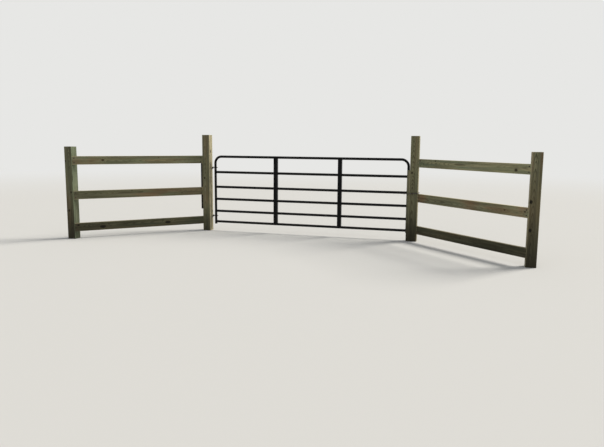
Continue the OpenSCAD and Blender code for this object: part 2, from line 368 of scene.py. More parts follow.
def dryingChecks(wood):
    # short cracks along the grain, one to a lane
    tree, gap = wood.tree, wood.look["checkGap"]
    lane = calc(tree, "DIVIDE", calc(tree, "ADD", wood.through, wood.across), gap)
    lane = calc(tree, "MULTIPLY_ADD", wood.wander, 0.9, lane)
    lane = calc(tree, "MULTIPLY_ADD", wood.shiver, 0.14, lane)
    luck = chance(tree, calc(tree, "ADD", calc(tree, "FLOOR", lane), wood.piece["seed"]))
    off = calc(tree, "SUBTRACT", calc(tree, "FRACT", lane), calc(tree, "MULTIPLY_ADD", luck, 0.6, 0.2))
    off = times(tree, calc(tree, "ABSOLUTE", off), gap)
    width = fade(tree, wood.drying, 0.5, 0.64, 0.0, wood.look["checkWidth"])
    crack = fade(tree, calc(tree, "SUBTRACT", width, off), 0.0, wood.look["crackEdge"])
    return times(tree, crack, calc(tree, "SUBTRACT", 1.0, wood.endFace))


def endSplits(wood, crack):
    # splits outwards from the heart, which run in from the ends
    tree, wave = wood.tree, wood.look["splitWave"]
    for end, angle, length, width in wood.piece["splits"]:
        sine, cosine = math.sin(math.radians(angle)), math.cos(math.radians(angle))
        off = calc(tree, "ADD", times(tree, wood.offThrough, -sine), times(tree, wood.offAcross, cosine))
        off = calc(tree, "MULTIPLY_ADD", wood.shiver, wave, calc(tree, "SUBTRACT", off, wave / 2))
        out = calc(tree, "ADD", times(tree, wood.offThrough, cosine), times(tree, wood.offAcross, sine))
        reach = calc(tree, "ABSOLUTE", calc(tree, "SUBTRACT", wood.along, end))
        wide = times(tree, fade(tree, reach, 0.0, length, width, 0.0), fade(tree, out, 0.0, 0.02))
        gap = calc(tree, "SUBTRACT", wide, calc(tree, "ABSOLUTE", off))
        crack = calc(tree, "MAXIMUM", crack, fade(tree, gap, 0.0, wood.look["crackEdge"]))
    return crack


def paintSunlitSides(wood, colour):
    # painted sunlight: paler on the faces turned to the sun, streak by streak
    tree = wood.tree
    paintedSunShare = 0.0
    for way, strength in wood.piece["sunPainted"]:
        pale = fade(tree, facing(tree, wood.normal, way), 0.4, 0.9, 0.0, strength)
        colour = coat(wood, colour, times(tree, pale, fade(tree, wood.streak, 0.3, 0.6, 0.6, 1.0)), "pale")
        paintedSunShare = calc(tree, "MAXIMUM", paintedSunShare, pale)
    return colour, paintedSunShare


def wornEdges(wood):
    tree, width = wood.tree, wood.look["wornWidth"]
    halfThrough, halfAcross = wood.piece["half"]
    rim = calc(tree, "SUBTRACT", halfThrough, calc(tree, "ABSOLUTE", wood.through))
    rim = calc(tree, "ADD", rim, calc(tree, "SUBTRACT", halfAcross, calc(tree, "ABSOLUTE", wood.across)))
    rim = calc(tree, "ADD", rim, times(tree, wood.streak, 0.008))
    return fade(tree, rim, 0.006, width, 1.0, 0.0)


def dampAndShadeFoot(wood, paintedSunShare):
    # darker near the foot with an uneven edge, partly damp and partly painted shade, held off the faces with
    # painted sunlight
    tree = wood.tree
    level = calc(tree, "ADD", wood.level, times(tree, calc(tree, "SUBTRACT", wood.blotch, 0.5), 0.35))
    level = calc(tree, "ADD", level, times(tree, calc(tree, "SUBTRACT", wood.streak, 0.5), 0.25))
    dark, top = wood.piece["dampAndShade"]
    dampAndShade = fade(tree, level, -0.02, top, dark, 0.0)
    return times(tree, dampAndShade, calc(tree, "SUBTRACT", 1.0, paintedSunShare))


def knotColour(wood, colour):
    # darkened wood round each knot, its own fine rings and its rim
    tree, gap = wood.tree, wood.knot
    colour = coat(wood, colour, fade(tree, gap, 0.9, 1.9, 0.4, 0.0), "late")
    rings = calc(tree, "MULTIPLY_ADD", calc(tree, "SINE", times(tree, gap, 26.0)), 0.08, 0.86)
    colour = coat(wood, colour, times(tree, fade(tree, gap, 0.85, 1.0, 1.0, 0.0), rings), "knot")
    rim = times(tree, fade(tree, gap, 0.78, 0.95), fade(tree, gap, 0.98, 1.15, 1.0, 0.0))
    return coat(wood, colour, times(tree, rim, 0.9), "rim")


def timberRelief(wood, shader, ring, crack):
    tree = wood.tree
    height = calc(tree, "MULTIPLY_ADD", ring, 0.3, times(tree, wood.fibre, 0.8))
    height = calc(tree, "SUBTRACT", height, fade(tree, wood.pore, 0.6, 0.72, 0.0, 0.25))
    # faint marks of the saw across the grain
    stroke = times(tree, wood.along, math.tau / wood.look["sawGap"])
    stroke = calc(tree, "SINE", calc(tree, "MULTIPLY_ADD", wood.shiver, 6.0, stroke))
    height = calc(tree, "MULTIPLY_ADD", stroke, 0.07, height)
    height = calc(tree, "SUBTRACT", height, times(tree, crack, 2.4))
    height = calc(tree, "SUBTRACT", height, fade(tree, wood.knot, 0.8, 1.05, 0.7, 0.0))
    relief(tree, shader, height, strength=0.55, depth=0.0011)


def timberFinish(name, piece):
    finish, tree, shader = newFinish(name)
    wood = layTimber(tree, piece)
    wood.knot = knotGap(wood)
    ring = growthRings(wood)
    crack = endSplits(wood, dryingChecks(wood))
    # painted sunlight pales the faces turned to the sun
    colour, paintedSunShare = paintSunlitSides(wood, timberColour(wood, ring))
    # the piece's tone, which also paints light and shade
    colour = tint(tree, 1.0, colour, timberShade(wood), "MULTIPLY")
    colour = coat(wood, colour, times(tree, wornEdges(wood), 0.55), "pale")
    # damp and painted shade darken the foot
    colour = coat(wood, colour, dampAndShadeFoot(wood, paintedSunShare), "soil")
    colour = knotColour(wood, colour)
    colour = coat(wood, colour, times(tree, crack, 0.9), "split")
    tree.links.new(colour, shader.inputs["Base Color"])
    rough = calc(tree, "MULTIPLY_ADD", wood.fibre, 0.2, wood.look["roughness"] - 0.08)
    rough = calc(tree, "SUBTRACT", rough, times(tree, ring, 0.06))
    tree.links.new(rough, shader.inputs["Roughness"])
    shader.inputs["Specular IOR Level"].default_value = 0.15
    timberRelief(wood, shader, ring, crack)
    return finish


# each post and board, as it grew and weathered, with painted light and shade in its tone

# along counts from the ground up, or on a rail from the gate post outwards
# through is depth from the middle, and across is to the left of it, or up on a rail
halfPost = (postHigh.x - postLow.x) / 2
halfStop = (stopHigh.x - stopLow.x) / 2
frontFace = -halfPost
leftFace = halfPost
rightFace = -halfPost
postTop = postHigh.z
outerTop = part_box("left_outer_post")[1].z
railEnd = wings["left"].length


def knot(along, through, across, radius, branch="through", drawn=0.72):
    # the branch ran through or across the piece, and a lower drawn makes the knot longer
    shape = (drawn, 0.3, 1.0) if branch == "through" else (drawn, 1.0, 0.3)
    return (along, through, across), [ratio / radius for ratio in shape]


def railKnot(along, across, radius, drawn=0.72):
    return knot(along, 0.0, across, radius, "through", drawn)


def postLay(node):
    low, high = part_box(node)
    middle = middleOf(node)
    return {
        "middle": (middle.x, middle.y, 0.0),
        "turn": (0.0, math.radians(-90), 0.0),
        "endWay": upward,
        "length": high.z,
        "half": ((high.y - low.y) / 2, (high.x - low.x) / 2),
    }


def railLay(node):
    wing = wings[node.split("_")[0]]
    at = wing.start - wing.front * (wing.thick / 2)
    return {
        "middle": (at.x, at.y, middleOf(node).z),
        "turn": (0.0, 0.0, math.atan2(wing.way.y, wing.way.x)),
        "endWay": toRight,
        "length": wing.length,
        "half": (wing.thick / 2, wing.wide / 2),
        "sunPainted": [(upward, 0.85)],  # painted sunlight on the top face
    }


plainTimber = {
    "shade": 1.0,  # depth of tone, partly painted light and shade, lowest on the bottom rails
    "ends": (1.0, 1.0),  # tone at the start and at the far end, on the posts painted shade at the foot
    "green": 0.5,
    "red": 0.35,
    "warm": [],  # reddish stretches of heartwood: middle, reach, strength
    "wander": 0.075,  # how far the rings drift
    "taper": 0.03,  # how far they are drawn out to arches
    "dampAndShade": (0.62, 0.6),  # damp and painted shade at the foot: how dark, how high it reaches
    "sunPainted": [],  # painted sunlight: which way the lit face looks, strength
    "knots": [],
    "splits": [],  # which end, angle round the heart, length, width
    "look": {},
}
timbers = {
    "left_outer_post": {
        "seed": 3.1, "heart": (0.012, -0.018), "taper": 0.04, "shade": 0.72, "ends": (0.88, 1.12),
        "green": 0.45, "red": 0.4, "dampAndShade": (0.82, 0.95), "sunPainted": [(toRight, 0.62)],
        # a greener pale for its painted sky-lit right face
        "look": {"pale": (138, 152, 124)},
        "knots": [knot(1.305, frontFace, 0.06, 0.014), knot(0.79, frontFace, -0.03, 0.012),
                  knot(0.48, frontFace, 0.02, 0.013), knot(1.1, 0.02, leftFace, 0.015, "across")],
        "splits": [(outerTop, 200, 0.5, 0.0018), (outerTop, 70, 0.28, 0.0014)],
    },
    "hinge_post": {
        "seed": 8.4, "heart": (-0.02, 0.015), "taper": 0.05, "shade": 0.9, "green": 0.6, "red": 0.32,
        "warm": [(0.62, 0.3, 0.3)], "dampAndShade": (0.65, 0.6), "sunPainted": [(toRight, 0.88)],
        "knots": [knot(1.47, -0.01, rightFace, 0.016, "across"),
                  knot(0.36, 0.03, rightFace, 0.014, "across"), knot(0.98, frontFace, 0.03, 0.011)],
        "splits": [(postTop, -60, 0.6, 0.002), (postTop, 120, 0.4, 0.0016), (postTop, 205, 0.25, 0.0012)],
    },
    "latch_post": {
        "seed": 13.7, "heart": (0.02, 0.022), "taper": 0.06, "shade": 0.9, "ends": (0.88, 1.14),
        "green": 0.6, "red": 0.3, "dampAndShade": (0.85, 0.8), "sunPainted": [(toRight, 0.65)],
        "knots": [knot(1.159, frontFace, 0.036, 0.012), knot(0.33, 0.0, rightFace, 0.015, "across")],
        "splits": [(postTop, 250, 0.45, 0.0018), (postTop, 10, 0.35, 0.0014)],
    },
    "right_outer_post": {
        "seed": 21.9, "heart": (-0.035, 0.018), "wander": 0.04, "taper": 0.095, "shade": 0.88,
        "ends": (0.9, 1.08), "green": 0.25, "red": 0.6, "warm": [(0.75, 0.7, 0.35)],
        "dampAndShade": (0.85, 0.8), "sunPainted": [(toLeft, 0.6), (upward, 0.5)],
        "look": {"ringGap": 0.0105, "late": (52, 51, 33), "knot": (13, 11, 9)},
        "knots": [knot(0.89, frontFace, 0.049, 0.017), knot(0.507, frontFace, 0.0385, 0.016),
                  knot(0.78, -0.01, leftFace, 0.014, "across")],
        "splits": [(outerTop, 190, 0.5, 0.0018), (outerTop, 300, 0.3, 0.0014)],
    },
    "left_top_rail": {
        "seed": 31.3, "heart": (0.058, -0.012), "taper": 0.04, "shade": 1.09, "green": 0.8,
        "warm": [(2.18, 0.12, 0.35), (1.95, 0.12, 0.25)],
        "look": {"knot": (62, 44, 29), "rim": (40, 30, 21)},
        "knots": [railKnot(1.77, 0.003, 0.015), railKnot(0.82, 0.04, 0.008)],
        "splits": [(0.0, 240, 0.2, 0.0014)],
    },
    "left_middle_rail": {
        "seed": 36.8, "heart": (0.05, 0.02), "taper": -0.035, "shade": 0.85, "ends": (1.26, 0.84),
        "green": 0.4, "red": 0.7, "warm": [(0.2, 0.5, 0.45)],
        "look": {"knot": (56, 45, 32), "rim": (44, 36, 26)},
        "knots": [railKnot(1.3, 0.045, 0.009), railKnot(0.4, -0.02, 0.009)],
        "splits": [(railEnd, 265, 0.25, 0.0014)],
    },
    # darker than the other rails, partly painted shade
    "left_bottom_rail": {
        "seed": 42.2, "heart": (-0.056, 0.01), "shade": 0.59, "ends": (1.34, 0.84),
        "green": 0.65, "red": 0.25, "dampAndShade": (0.8, 0.36), "look": {"knot": (17, 14, 11)},
        "knots": [railKnot(1.81, -0.014, 0.023, 0.46), railKnot(0.673, -0.003, 0.021, 0.46),
                  railKnot(2.21, 0.034, 0.015, 0.6)],
        "splits": [(0.0, 80, 0.22, 0.0014)],
    },
    "right_top_rail": {
        "seed": 47.6, "heart": (0.06, 0.008), "taper": -0.03, "shade": 1.42, "ends": (0.92, 1.08),
        "green": 0.9, "red": 0.15, "look": {"knot": (56, 48, 34), "rim": (44, 38, 27)},
        "knots": [railKnot(0.404, 0.05, 0.011), railKnot(0.118, -0.008, 0.008),
                  railKnot(2.014, -0.02, 0.018)],
        "splits": [(railEnd, 230, 0.2, 0.0014)],
    },
    "right_middle_rail": {
        "seed": 54.5, "heart": (0.052, -0.02), "taper": 0.045, "shade": 1.23, "ends": (0.88, 1.02),
        "red": 0.6, "warm": [(0.1, 0.2, 0.85), (1.2, 0.3, 0.75), (2.15, 0.12, 0.55)],
        "knots": [railKnot(2.203, 0.011, 0.011), railKnot(2.14, 0.001, 0.006),
                  railKnot(2.189, -0.025, 0.006), railKnot(1.856, -0.002, 0.009)],
        "splits": [(0.0, 250, 0.26, 0.0016)],
    },
    # darker than the other rails, partly painted shade
    "right_bottom_rail": {
        "seed": 63.1, "heart": (-0.05, -0.015), "shade": 0.48, "ends": (1.04, 0.94),
        "green": 0.45, "red": 0.5, "dampAndShade": (0.8, 0.36), "look": {"knot": (50, 40, 28), "rim": (38, 31, 22)},
        "knots": [railKnot(1.02, 0.02, 0.01), railKnot(1.74, -0.03, 0.009)],
        "splits": [(railEnd, 75, 0.25, 0.0014)],
    },
    "stop_board": {
        "seed": 71.4, "heart": (-0.03, 0.055), "shade": 0.98, "dampAndShade": (0.85, 0.8),
        "knots": [knot(0.86, 0.01, halfStop, 0.012, "across"), knot(0.42, -0.02, halfStop, 0.011, "across")],
        "splits": [(stopHigh.z, 150, 0.3, 0.0014)],
    },
}
for node, own in timbers.items():
    lay = railLay(node) if node.endswith("_rail") else postLay(node)
    dress(parts[node], timberFinish("sawnTimber_" + node, {**plainTimber, **lay, **own}))
print("timber finished:", len(timbers), "boards and posts")


# black paint of the leaf, hooks and side bar

paintLook = {
    "black": (5, 6, 7),
    "worn": (14, 14, 15),
    "dust": (70, 67, 60),
    "soil": (96, 88, 72),
    "rust": (78, 46, 29),
    "roughness": 0.33,
}


def paintFinish(name, dust, rust, wear, seed):
    finish, tree, shader = newFinish(name)
    coord = tree.nodes.new("ShaderNodeTexCoord")
    own = coord.outputs["Object"]
    broad = evenGrain(tree, own, 3.0, 3.0, seed)
    fine = evenGrain(tree, own, 60.0, 4.0, seed + 5)
    speck = evenGrain(tree, own, 150.0, 2.0, seed + 9)
    colour = tint(tree, fade(tree, fine, 0.45, 0.7, 0.0, wear), tone(*paintLook["black"]),
                  tone(*paintLook["worn"]))
    # dust settles on what faces up, and soil splashes up near the ground
    upper = fade(tree, axesOf(tree, coord.outputs["Normal"])[2], 0.3, 1.0)
    settled = times(tree, upper, fade(tree, fine, 0.3, 0.7, 0.5, 1.0), fade(tree, broad, 0.3, 0.65), dust)
    colour = tint(tree, settled, colour, tone(*paintLook["dust"]))
    low = fade(tree, axesOf(tree, own)[2], 0.12, 0.6, 1.0, 0.0)
    splash = times(tree, low, fade(tree, speck, 0.55, 0.66), fade(tree, broad, 0.35, 0.6, 0.05, 0.28))
    colour = tint(tree, splash, colour, tone(*paintLook["soil"]))
    fleck = times(tree, fade(tree, speck, 0.66, 0.7), fade(tree, broad, 0.5, 0.62), rust)
    colour = tint(tree, fleck, colour, tone(*paintLook["rust"]))
    tree.links.new(colour, shader.inputs["Base Color"])
    rough = calc(tree, "MULTIPLY_ADD", fine, 0.22, paintLook["roughness"] - 0.1)
    rough = calc(tree, "ADD", rough, times(tree, calc(tree, "MAXIMUM", settled, splash), 0.35))
    rough = calc(tree, "ADD", rough, times(tree, fleck, 0.3))
    tree.links.new(rough, shader.inputs["Roughness"])
    shader.inputs["Specular IOR Level"].default_value = 0.11
    height = calc(tree, "MULTIPLY_ADD", speck, 0.25, times(tree, fleck, 0.8))
    relief(tree, shader, height, strength=0.35, depth=0.0004)
    return finish


leafPaint = paintFinish("gatePaint", dust=0.3, rust=0.35, wear=0.4, seed=2.0)
bracePaint = paintFinish("bracePaint", dust=0.25, rust=0.4, wear=0.4, seed=14.0)
barPaint = paintFinish("barPaint", dust=0.3, rust=0.6, wear=0.5, seed=26.0)
for node in ("hinge_stile", "top_tube", "latch_stile", "second_tube", "third_tube", "fourth_tube",
             "fifth_tube", "bottom_tube"):
    dress(parts[node], leafPaint)
for node in ("left_brace", "right_brace"):
    dress(parts[node], bracePaint)
for node in ("side_bar", "upper_hook", "lower_hook"):
    dress(parts[node], barPaint)
print("leaf painted")


# bare steel of the chain, bolts and screws

steelLook = {
    "zinc": (104, 102, 97),
    "screw": (76, 71, 62),
    "dull": (56, 54, 50),
    "rust": (82, 52, 34),
    "roughness": 0.46,
}


def steelFinish(name, bright, rust, seed):
    finish, tree, shader = newFinish(name)
    own = tree.nodes.new("ShaderNodeTexCoord").outputs["Object"]
    broad = evenGrain(tree, own, 26.0, 3.0, seed)
    fine = evenGrain(tree, own, 180.0, 3.0, seed + 5)
    colour = tint(tree, fade(tree, broad, 0.38, 0.62), tone(*steelLook[bright]), tone(*steelLook["dull"]))
    brown = times(tree, fade(tree, calc(tree, "MULTIPLY_ADD", fine, 0.4, broad), 0.7, 0.82), rust)
    colour = tint(tree, brown, colour, tone(*steelLook["rust"]))
    tree.links.new(colour, shader.inputs["Base Color"])
    tree.links.new(fade(tree, brown, 0.0, 0.6, 0.9, 0.1), shader.inputs["Metallic"])
    rough = calc(tree, "MULTIPLY_ADD", fine, 0.2, steelLook["roughness"] - 0.1)
    tree.links.new(calc(tree, "ADD", rough, times(tree, brown, 0.4)), shader.inputs["Roughness"])
    relief(tree, shader, fine, strength=0.3, depth=0.0003)
    return finish


chainSteel = steelFinish("chainSteel", "zinc", rust=0.6, seed=3.0)
boltSteel = steelFinish("boltSteel", "zinc", rust=0.4, seed=12.0)
screwSteel = steelFinish("screwSteel", "screw", rust=0.8, seed=21.0)
for node in ("upper_eye_bolt", "lower_eye_bolt", "hinge_nuts"):
    dress(parts[node], boltSteel)
dress(parts["latch_chain"], chainSteel)
print("steel finished")


# helpers for the small pieces

hair = 0.0001  # what is nearer than this counts as the same place


def clearPick():
    if bpy.context.mode != "OBJECT":
        bpy.ops.object.mode_set(mode="OBJECT")
    bpy.ops.object.select_all(action="DESELECT")


def pickPoints(shape, test):
    # picks the points that pass the test, by place
    mesh = bmesh.from_edit_mesh(shape.data)
    bpy.ops.mesh.select_all(action="DESELECT")
    for point in mesh.verts:
        point.select = bool(test(point.co))
    mesh.select_flush(True)
    bmesh.update_edit_mesh(shape.data)


def pickTop(shape):
    # picks the faces that look straight up
    mesh = bmesh.from_edit_mesh(shape.data)
    bpy.ops.mesh.select_all(action="DESELECT")
    for face in mesh.faces:
        face.select = face.normal.z > 0.9
    bmesh.update_edit_mesh(shape.data)


def addDisc(radius, thick, base=0.0, corners=24):
    # stands along Z, its foot at the base
    clearPick()
    bpy.ops.mesh.primitive_cylinder_add(
        vertices=corners, radius=radius, depth=thick, location=(0, 0, base + thick / 2))
    bpy.ops.object.transform_apply(location=True)
    return bpy.context.object


def addHoop(radius, bead, slices, sides, turn=0):
    # a ring of round wire round Z, or round X with a turn of 90 degrees
    clearPick()
    bpy.ops.mesh.primitive_torus_add(
        major_segments=slices, minor_segments=sides, rotation=(0, math.radians(turn), 0),
        major_radius=radius, minor_radius=bead)
    bpy.ops.object.transform_apply(rotation=True)
    return bpy.context.object


def stepTop(shape, steps):
    # draws the top in and lifts it, once for each pair
    bpy.ops.object.mode_set(mode="EDIT")
    pickTop(shape)
    for inwards, up in steps:
        bpy.ops.mesh.inset(thickness=inwards)
        bpy.ops.transform.translate(value=(0, 0, up))
    bpy.ops.object.mode_set(mode="OBJECT")


def smooth(shape, angle):
    clearPick()
    shape.select_set(True)
    bpy.context.view_layer.objects.active = shape
    bpy.ops.object.shade_smooth_by_angle(angle=math.radians(angle))


def turned(degrees, axis):
    return Matrix.Rotation(math.radians(degrees), 4, axis)


def copyTo(shape, place, turn=Matrix.Identity(4)):
    # another one, with its own mesh, turned and moved to its place
    other = shape.copy()
    other.data = shape.data.copy()
    other.data.transform(Matrix.Translation(place) @ turn)
    bpy.context.scene.collection.objects.link(other)
    return other


def together(shapes):
    clearPick()
    for shape in shapes:
        shape.select_set(True)
    bpy.context.view_layer.objects.active = shapes[0]
    bpy.ops.object.join()
    return bpy.context.view_layer.objects.active


def finishPiece(shape, name, body, finish):
    clearPick()
    shape.select_set(True)
    bpy.context.view_layer.objects.active = shape
    bpy.ops.object.transform_apply(location=True, rotation=True, scale=True)
    shape.name = name
    shape.data.name = name
    shape.data.materials.clear()
    shape.data.materials.append(finish)
    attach(shape, body)
    return shape


def drop(shape):
    mesh = shape.data
    bpy.data.objects.remove(shape)
    bpy.data.meshes.remove(mesh)


def makeHexagon(size):
    # six sided nut or head on a round flange, its seat at height 0
    flange = addDisc(size["flange"], size["flangeThick"])
    stepTop(flange, [size["flangeSlope"]])
    corner = size["flats"] / 2 / math.cos(math.radians(30))
    head = addDisc(corner, size["thick"], size["base"], 6)
    stepTop(head, [size["chamfer"]])
    whole = together([head, flange])
    smooth(whole, 30)
    return whole


# latch chain of round wire links

chainSize = {
    "wire": 0.006,
    "length": 0.039,
    "width": 0.0194,
    "gap": 0.0003,  # between a link and what it bears on
    "weldSwell": 1.14,
    "back": 3,  # links along the back of the post
    "side": 6,
    "front": 8,
    "inner": 2,  # links along the stop board
    "fall": 0.012,  # across the front
    "pinPlay": 0.0001,  # off the radius of the wire
    "pinHead": [(2.6, 0.0), (1.0, 0.0012), (0.86, 0.0009), (0.62, 0.0006), (0.3, 0.0003)],  # wider, up
}
chainOff = chainSize["width"] / 2 + chainSize["gap"]


def makeLink(size):
    middle = (size["width"] - size["wire"]) / 2
    link = addHoop(middle, size["wire"] / 2, slices=28, sides=12)
    bpy.ops.object.mode_set(mode="EDIT")
    for side in (-1, 1):
        pickPoints(link, lambda at: at.x * side > hair)
        bpy.ops.transform.translate(value=(side * (size["length"] - size["width"]) / 2, 0, 0))
    # the butt weld half way along one side
    swell = size["weldSwell"]
    pickPoints(link, lambda at: abs(at.x) < hair and at.y > 0)
    bpy.ops.transform.resize(value=(1, swell, swell), center_override=(0, middle, 0))
    bpy.ops.transform.translate(value=(0, -size["wire"] / 2 * (swell - 1), 0))
    bpy.ops.object.mode_set(mode="OBJECT")
    smooth(link, 60)
    return link


def makePin(size):
    # round headed pin standing along Z, its foot at 0
    pin = addDisc(size["wire"] / 2 - size["pinPlay"], chainOff + size["wire"] / 2 + size["gap"])
    bpy.ops.object.mode_set(mode="EDIT")
    pickTop(pin)
    for wider, up in size["pinHead"]:
        bpy.ops.mesh.extrude_region_move(TRANSFORM_OT_translate={"value": (0, 0, up)})
        bpy.ops.transform.resize(value=(wider, wider, 1))
    bpy.ops.object.mode_set(mode="OBJECT")
    smooth(pin, 35)
    return pin


def fromCorner(size, number):
    # from a corner to the middle of the link beside it, where an even one turns the corner with its end
    reach = (size["length"] - size["wire"]) / 2
    return reach if number % 2 == 0 else reach - size["wire"] - size["gap"]


def layChain(size):
    # each straight run's first middle, last middle and links, and each pin's place and turn
    pitch = size["length"] - 2 * size["wire"] - size["gap"]
    leftX, rightX = stopLow.x - chainOff, postHigh.x + chainOff
    frontY, backY = postLow.y - chainOff, postHigh.y + chainOff
    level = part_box("right_middle_rail")[1].z + chainOff  # it rests on the rail
    slope = size["fall"] / (rightX - leftX)
    toSide = size["back"]  # number of the first link after each corner
    toFront = toSide + size["side"]
    toInner = toFront + size["front"]
    backEnd = rightX - fromCorner(size, toSide - 1)
    backStart = backEnd - (size["back"] - 1) * pitch
    sideStart = backY - fromCorner(size, toSide)
    sideEnd = frontY + fromCorner(size, toFront - 1)
    frontStart = rightX - fromCorner(size, toFront)
    frontEnd = leftX + fromCorner(size, toInner - 1)
    frontHigh = level - slope * (rightX - frontStart)
    frontLow = level - slope * (rightX - frontEnd)
    innerStart = frontY + fromCorner(size, toInner)
    innerEnd = innerStart + (size["inner"] - 1) * pitch
    innerLevel = level - size["fall"]
    runs = [
        ((backStart, backY, level), (backEnd, backY, level), size["back"]),
        ((rightX, sideStart, level), (rightX, sideEnd, level), size["side"]),
        ((frontStart, frontY, frontHigh), (frontEnd, frontY, frontLow), size["front"]),
        ((leftX, innerStart, innerLevel), (leftX, innerEnd, innerLevel), size["inner"]),
    ]
    toPin = fromCorner(size, 1)  # a pin bears on the far end of its link's opening
    pins = [
        ((backStart - toPin, postHigh.y, level), turned(-90, "X")),
        ((stopLow.x, innerEnd + toPin, innerLevel), turned(-90, "Y")),
    ]
    return runs, pins


runs, pins = layChain(chainSize)
link = makeLink(chainSize)
chainLinks = []
for first, last, count in runs:
    first, last = Vector(first), Vector(last)
    turn = (last - first).to_track_quat("X", "Z").to_matrix().to_4x4()
    for step in range(count):
        lay = turned(90 if len(chainLinks) % 2 == 0 else 0, "X")  # the even ones stand upright
        at = first + (last - first) * (step / (count - 1))
        chainLinks.append(copyTo(link, at, turn @ lay))
drop(link)
print("chain linked:", len(chainLinks), "links")
pin = makePin(chainSize)
for at, turn in pins:
    chainLinks.append(copyTo(pin, at, turn))
drop(pin)
latchChain = finishPiece(together(chainLinks), "latchChain", "posts", chainSteel)
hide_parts("latch_chain")


# lock nuts and threads of the hinge bolts

nutSize = {
    "flats": 0.017, "thick": 0.006, "base": 0.0, "chamfer": (0.0011, 0.0007),  # inwards, up
    "flange": 0.0118, "flangeThick": 0.0016, "flangeSlope": (0.0016, 0.0004),
}
threadSize = {"root": 0.0048, "crest": 0.00528, "pitch": 0.0015, "length": 0.0155}


def makeThread(size):
    # ribbed sleeve that shows as the bolt's thread, along Z from 0
    pitch = size["pitch"]
    turns = int(size["length"] / pitch)
    thread = addDisc(size["root"], turns * pitch, corners=20)
    bpy.ops.object.mode_set(mode="EDIT")
    mesh = bmesh.from_edit_mesh(thread.data)
    bpy.ops.mesh.select_all(action="DESELECT")
    for edge in mesh.edges:
        edge.select = abs(edge.verts[0].co.z - edge.verts[1].co.z) > pitch
    bmesh.update_edit_mesh(thread.data)
    bpy.ops.mesh.subdivide(number_cuts=turns * 2 - 1)
    crest = size["crest"] / size["root"]
    pickPoints(thread, lambda at: round(at.z / pitch * 2) % 2 == 1)
    bpy.ops.transform.resize(value=(crest, crest, 1))
    bpy.ops.object.mode_set(mode="OBJECT")
    smooth(thread, 25)
    return thread


nut = makeHexagon(nutSize)
thread = makeThread(threadSize)
nuts, threads = [], []
for level in eyeLevels:
    for side in (-1, 1):
        at = (tube.hingeX + side * tube.radius, tube.leafY, level)
        nuts.append(copyTo(nut, at, turned(90 * side, "Y")))
    at = (tube.hingeX + tube.radius + nutSize["thick"], tube.leafY, level)
    threads.append(copyTo(thread, at, turned(90, "Y")))
drop(nut)
drop(thread)
hingeNuts = finishPiece(together(nuts), "hingeNuts", "leaf", boltSteel)
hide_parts("hinge_nuts")
finishPiece(together(threads), "boltThreads", "leaf", boltSteel)
print("hinge bolts nutted")


# washers under the hooks, and the ring round the third tube

washerSize = {
    "radius": 0.017, "thick": 0.0022,
    "steps": [(0.0007, 0.00042), (0.006, 0.0), (0.0006, -0.0004)],  # inwards, up: its bevel, then a groove
}
ringSize = {
    "wire": 0.006,
    "around": 0.0275,
    "fromStile": 0.062,
    "hang": 0.0045,  # its middle lies this far under the tube's
    "turn": 7,
    "footFrom": 0.0225,  # what lies further down than this is drawn out by the sag
    "sag": 0.003,
    "weldReach": 0.0025,
    "weldSwell": 1.2,
}


def makeWasher(size):
    washer = addDisc(size["radius"], size["thick"], corners=36)
    stepTop(washer, size["steps"])
    smooth(washer, 30)
    return washer


def makeRing(size):
    ring = addHoop(size["around"], size["wire"] / 2, slices=40, sides=12, turn=90)
    bpy.ops.object.mode_set(mode="EDIT")
    pickPoints(ring, lambda at: at.z < -size["footFrom"])
    bpy.ops.transform.translate(value=(0, 0, -size["sag"]))
    pickPoints(ring, lambda at: abs(at.z) < size["weldReach"] and at.y < 0)
    bpy.ops.transform.resize(value=(size["weldSwell"], 1.0, 1.0))
    bpy.ops.object.mode_set(mode="OBJECT")
    smooth(ring, 60)
    at = (tube.latchX - size["fromStile"], tube.leafY, middleOf("third_tube").z - size["hang"])
    ring.data.transform(Matrix.Translation(at) @ turned(size["turn"], "Z"))
    return ring


washer = makeWasher(washerSize)
washers = []
for node in ("upper_hook", "lower_hook"):
    low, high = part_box(node)
    shank = low.z + (high.y - low.y) / 2
    washers.append(copyTo(washer, (low.x, (low.y + high.y) / 2, shank), turned(90, "Y")))
drop(washer)
finishPiece(together(washers), "hookWashers", "posts", barPaint)
finishPiece(makeRing(ringSize), "lockRing", "leaf", chainSteel)
print("washers and ring placed")


# weld beads where tubes meet the stiles and braces

weldSize = {
    "slices": 36,
    "stile": {"bead": 0.0026, "offTube": 0.0004, "offStile": 0.001, "rough": 0.00035, "ripple": 1.22},
    "brace": {"bead": 0.00221, "offTube": 0.0006, "offBrace": 0.0008, "rough": 0.00056},
}


def angleFrom(at, side, up):
    # angle round X between a point and the way to a slice
    return math.atan2(at.y * up - at.z * side, at.y * side + at.z * up)


def makeStileWeld(size, slices):
    # bead round a tube along X where it is coped over an upright tube at the origin
    weld = addHoop(tube.radius + size["offTube"], size["bead"], slices, sides=8, turn=90)
    bpy.ops.object.mode_set(mode="EDIT")
    step = math.tau / slices
    for number in range(slices):
        # angle 0 is straight up, and the cope is deepest there
        side, up = math.sin(number * step), math.cos(number * step)
        deep = tube.radius * abs(up) + size["offStile"]
        pickPoints(weld, lambda at: abs(angleFrom(at, side, up)) < step / 4)
        bpy.ops.transform.translate(value=(deep, 0, 0))
        if number % 2:
            middle = (deep, side * tube.radius, up * tube.radius)
            bpy.ops.transform.resize(value=(size["ripple"],) * 3, center_override=middle)
    bpy.ops.mesh.select_all(action="SELECT")
    bpy.ops.transform.vertex_random(offset=size["rough"], seed=4)
    bpy.ops.object.mode_set(mode="OBJECT")
    smooth(weld, 70)
    return weld


